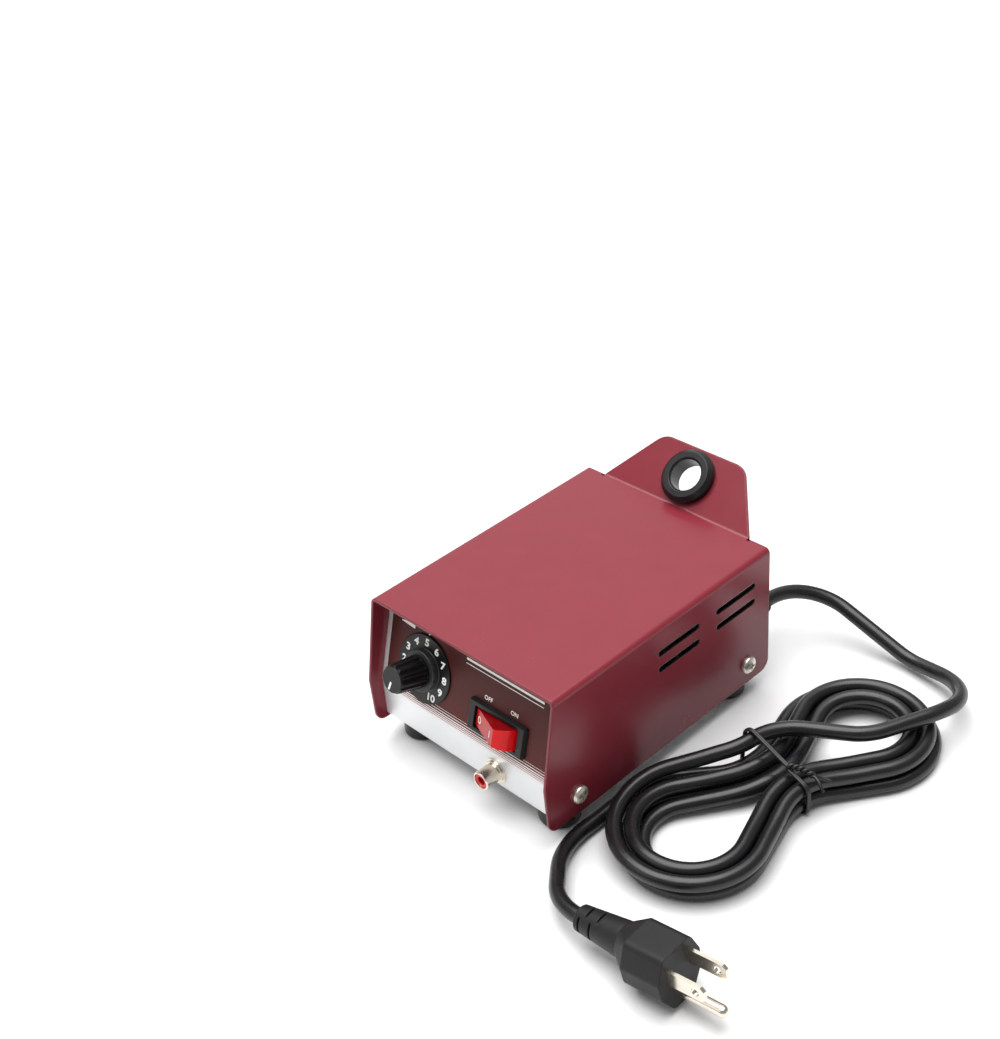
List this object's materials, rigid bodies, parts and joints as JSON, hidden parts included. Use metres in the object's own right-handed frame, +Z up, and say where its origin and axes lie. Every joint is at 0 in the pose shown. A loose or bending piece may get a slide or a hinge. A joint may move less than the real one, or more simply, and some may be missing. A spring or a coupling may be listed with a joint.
{
  "type": "wax welder",
  "caption": "Bench wax welder with a leaning pen holder, a numbered heat dial, a rocker switch, an output socket and a tied power cord.",
  "frame": {"origin": "on the floor under the middle of the case's box, without the cord", "axes": "+X to the right seen from the front, -Y towards the dial, +Z up"},
  "size_m": [0.2145, 0.2235, 0.0911],
  "materials": {
    "burgundy_paint": "glossy enamel",
    "silver_sheet": "satin",
    "printed_film": "semi-gloss printed film",
    "nickel": "bright nickel",
    "black_rubber": "matte moulded",
    "cord_jacket": "soft sheen",
    "tie_wrap": "thin black wrap",
    "knob_black": "satin",
    "cap_grey": "satin",
    "white_mark": "printed",
    "brass": "turned",
    "steel": "plain",
    "switch_black": "semi-gloss",
    "rocker_red": "clear red",
    "socket_red": "moulded red",
    "core_iron": "stacked sheet",
    "coil_copper": "wrapped winding",
    "board_green": "laminate",
    "sink_aluminium": "plain",
    "capacitor_blue": "sleeve",
    "block_green": "moulded",
    "wire_dark": "insulation",
    "wire_red": "insulation",
    "wire_pale": "insulation"
  },
  "bodies": {
    "case": {"cover": "burgundy_paint", "chassis": "silver_sheet", "front_overlay": "printed_film", "cover_screws": "nickel", "holder_grommet": "black_rubber", "feet": "black_rubber", "foot_screws": "steel", "foot_nuts": "steel", "pot_bushing": "brass", "pot_nut": "brass", "pot_washer": "steel", "pot_body": "steel", "pot_terminals": "steel", "switch_housing": "switch_black", "switch_terminals": "steel", "jack_shell": "nickel", "jack_washer": "nickel", "jack_insulator": "socket_red", "jack_contact": "brass", "jack_nut": "nickel", "jack_lug": "steel", "transformer_core": "core_iron", "transformer_coil": "coil_copper", "transformer_strap": "steel", "transformer_screws": "steel", "circuit_board": "board_green", "board_standoffs": "brass", "board_screws": "steel", "triac": "switch_black", "heat_sink": "sink_aluminium", "capacitor": "capacitor_blue", "terminal_block": "block_green", "wires_mains": "wire_dark", "wires_output": "wire_red", "wires_dial": "wire_pale", "strain_relief": "black_rubber", "relief_clip": "switch_black", "cord_stub": "cord_jacket", "cord_lead": "cord_jacket", "cord_hank": "cord_jacket", "cord_tie": "tie_wrap", "cord_tail": "cord_jacket", "plug_body": "cord_jacket", "plug_blades": "nickel", "plug_ground_pin": "nickel"},
    "dial": {"dial_skirt": "knob_black", "dial_knob": "knob_black", "knob_cap": "cap_grey", "dial_pointer": "white_mark", "knob_insert": "brass", "knob_set_screw": "steel", "pot_shaft": "steel"},
    "rocker": {"switch_rocker": "rocker_red"}
  },
  "joints": [
    {"name": "dial_turn", "type": "hinge", "parent": "case", "child": "dial", "pos_m": [-0.0259, -0.0654, 0.04548], "axis": [0, -0.9606, 0.2778], "range_deg": [-150, 150]},
    {"name": "rocker_press", "type": "hinge", "parent": "case", "child": "rocker", "pos_m": [0.0185, -0.06495, 0.0391], "axis": [0, 0.2778, 0.9606], "range_deg": [0, 48.8]}
  ]
}
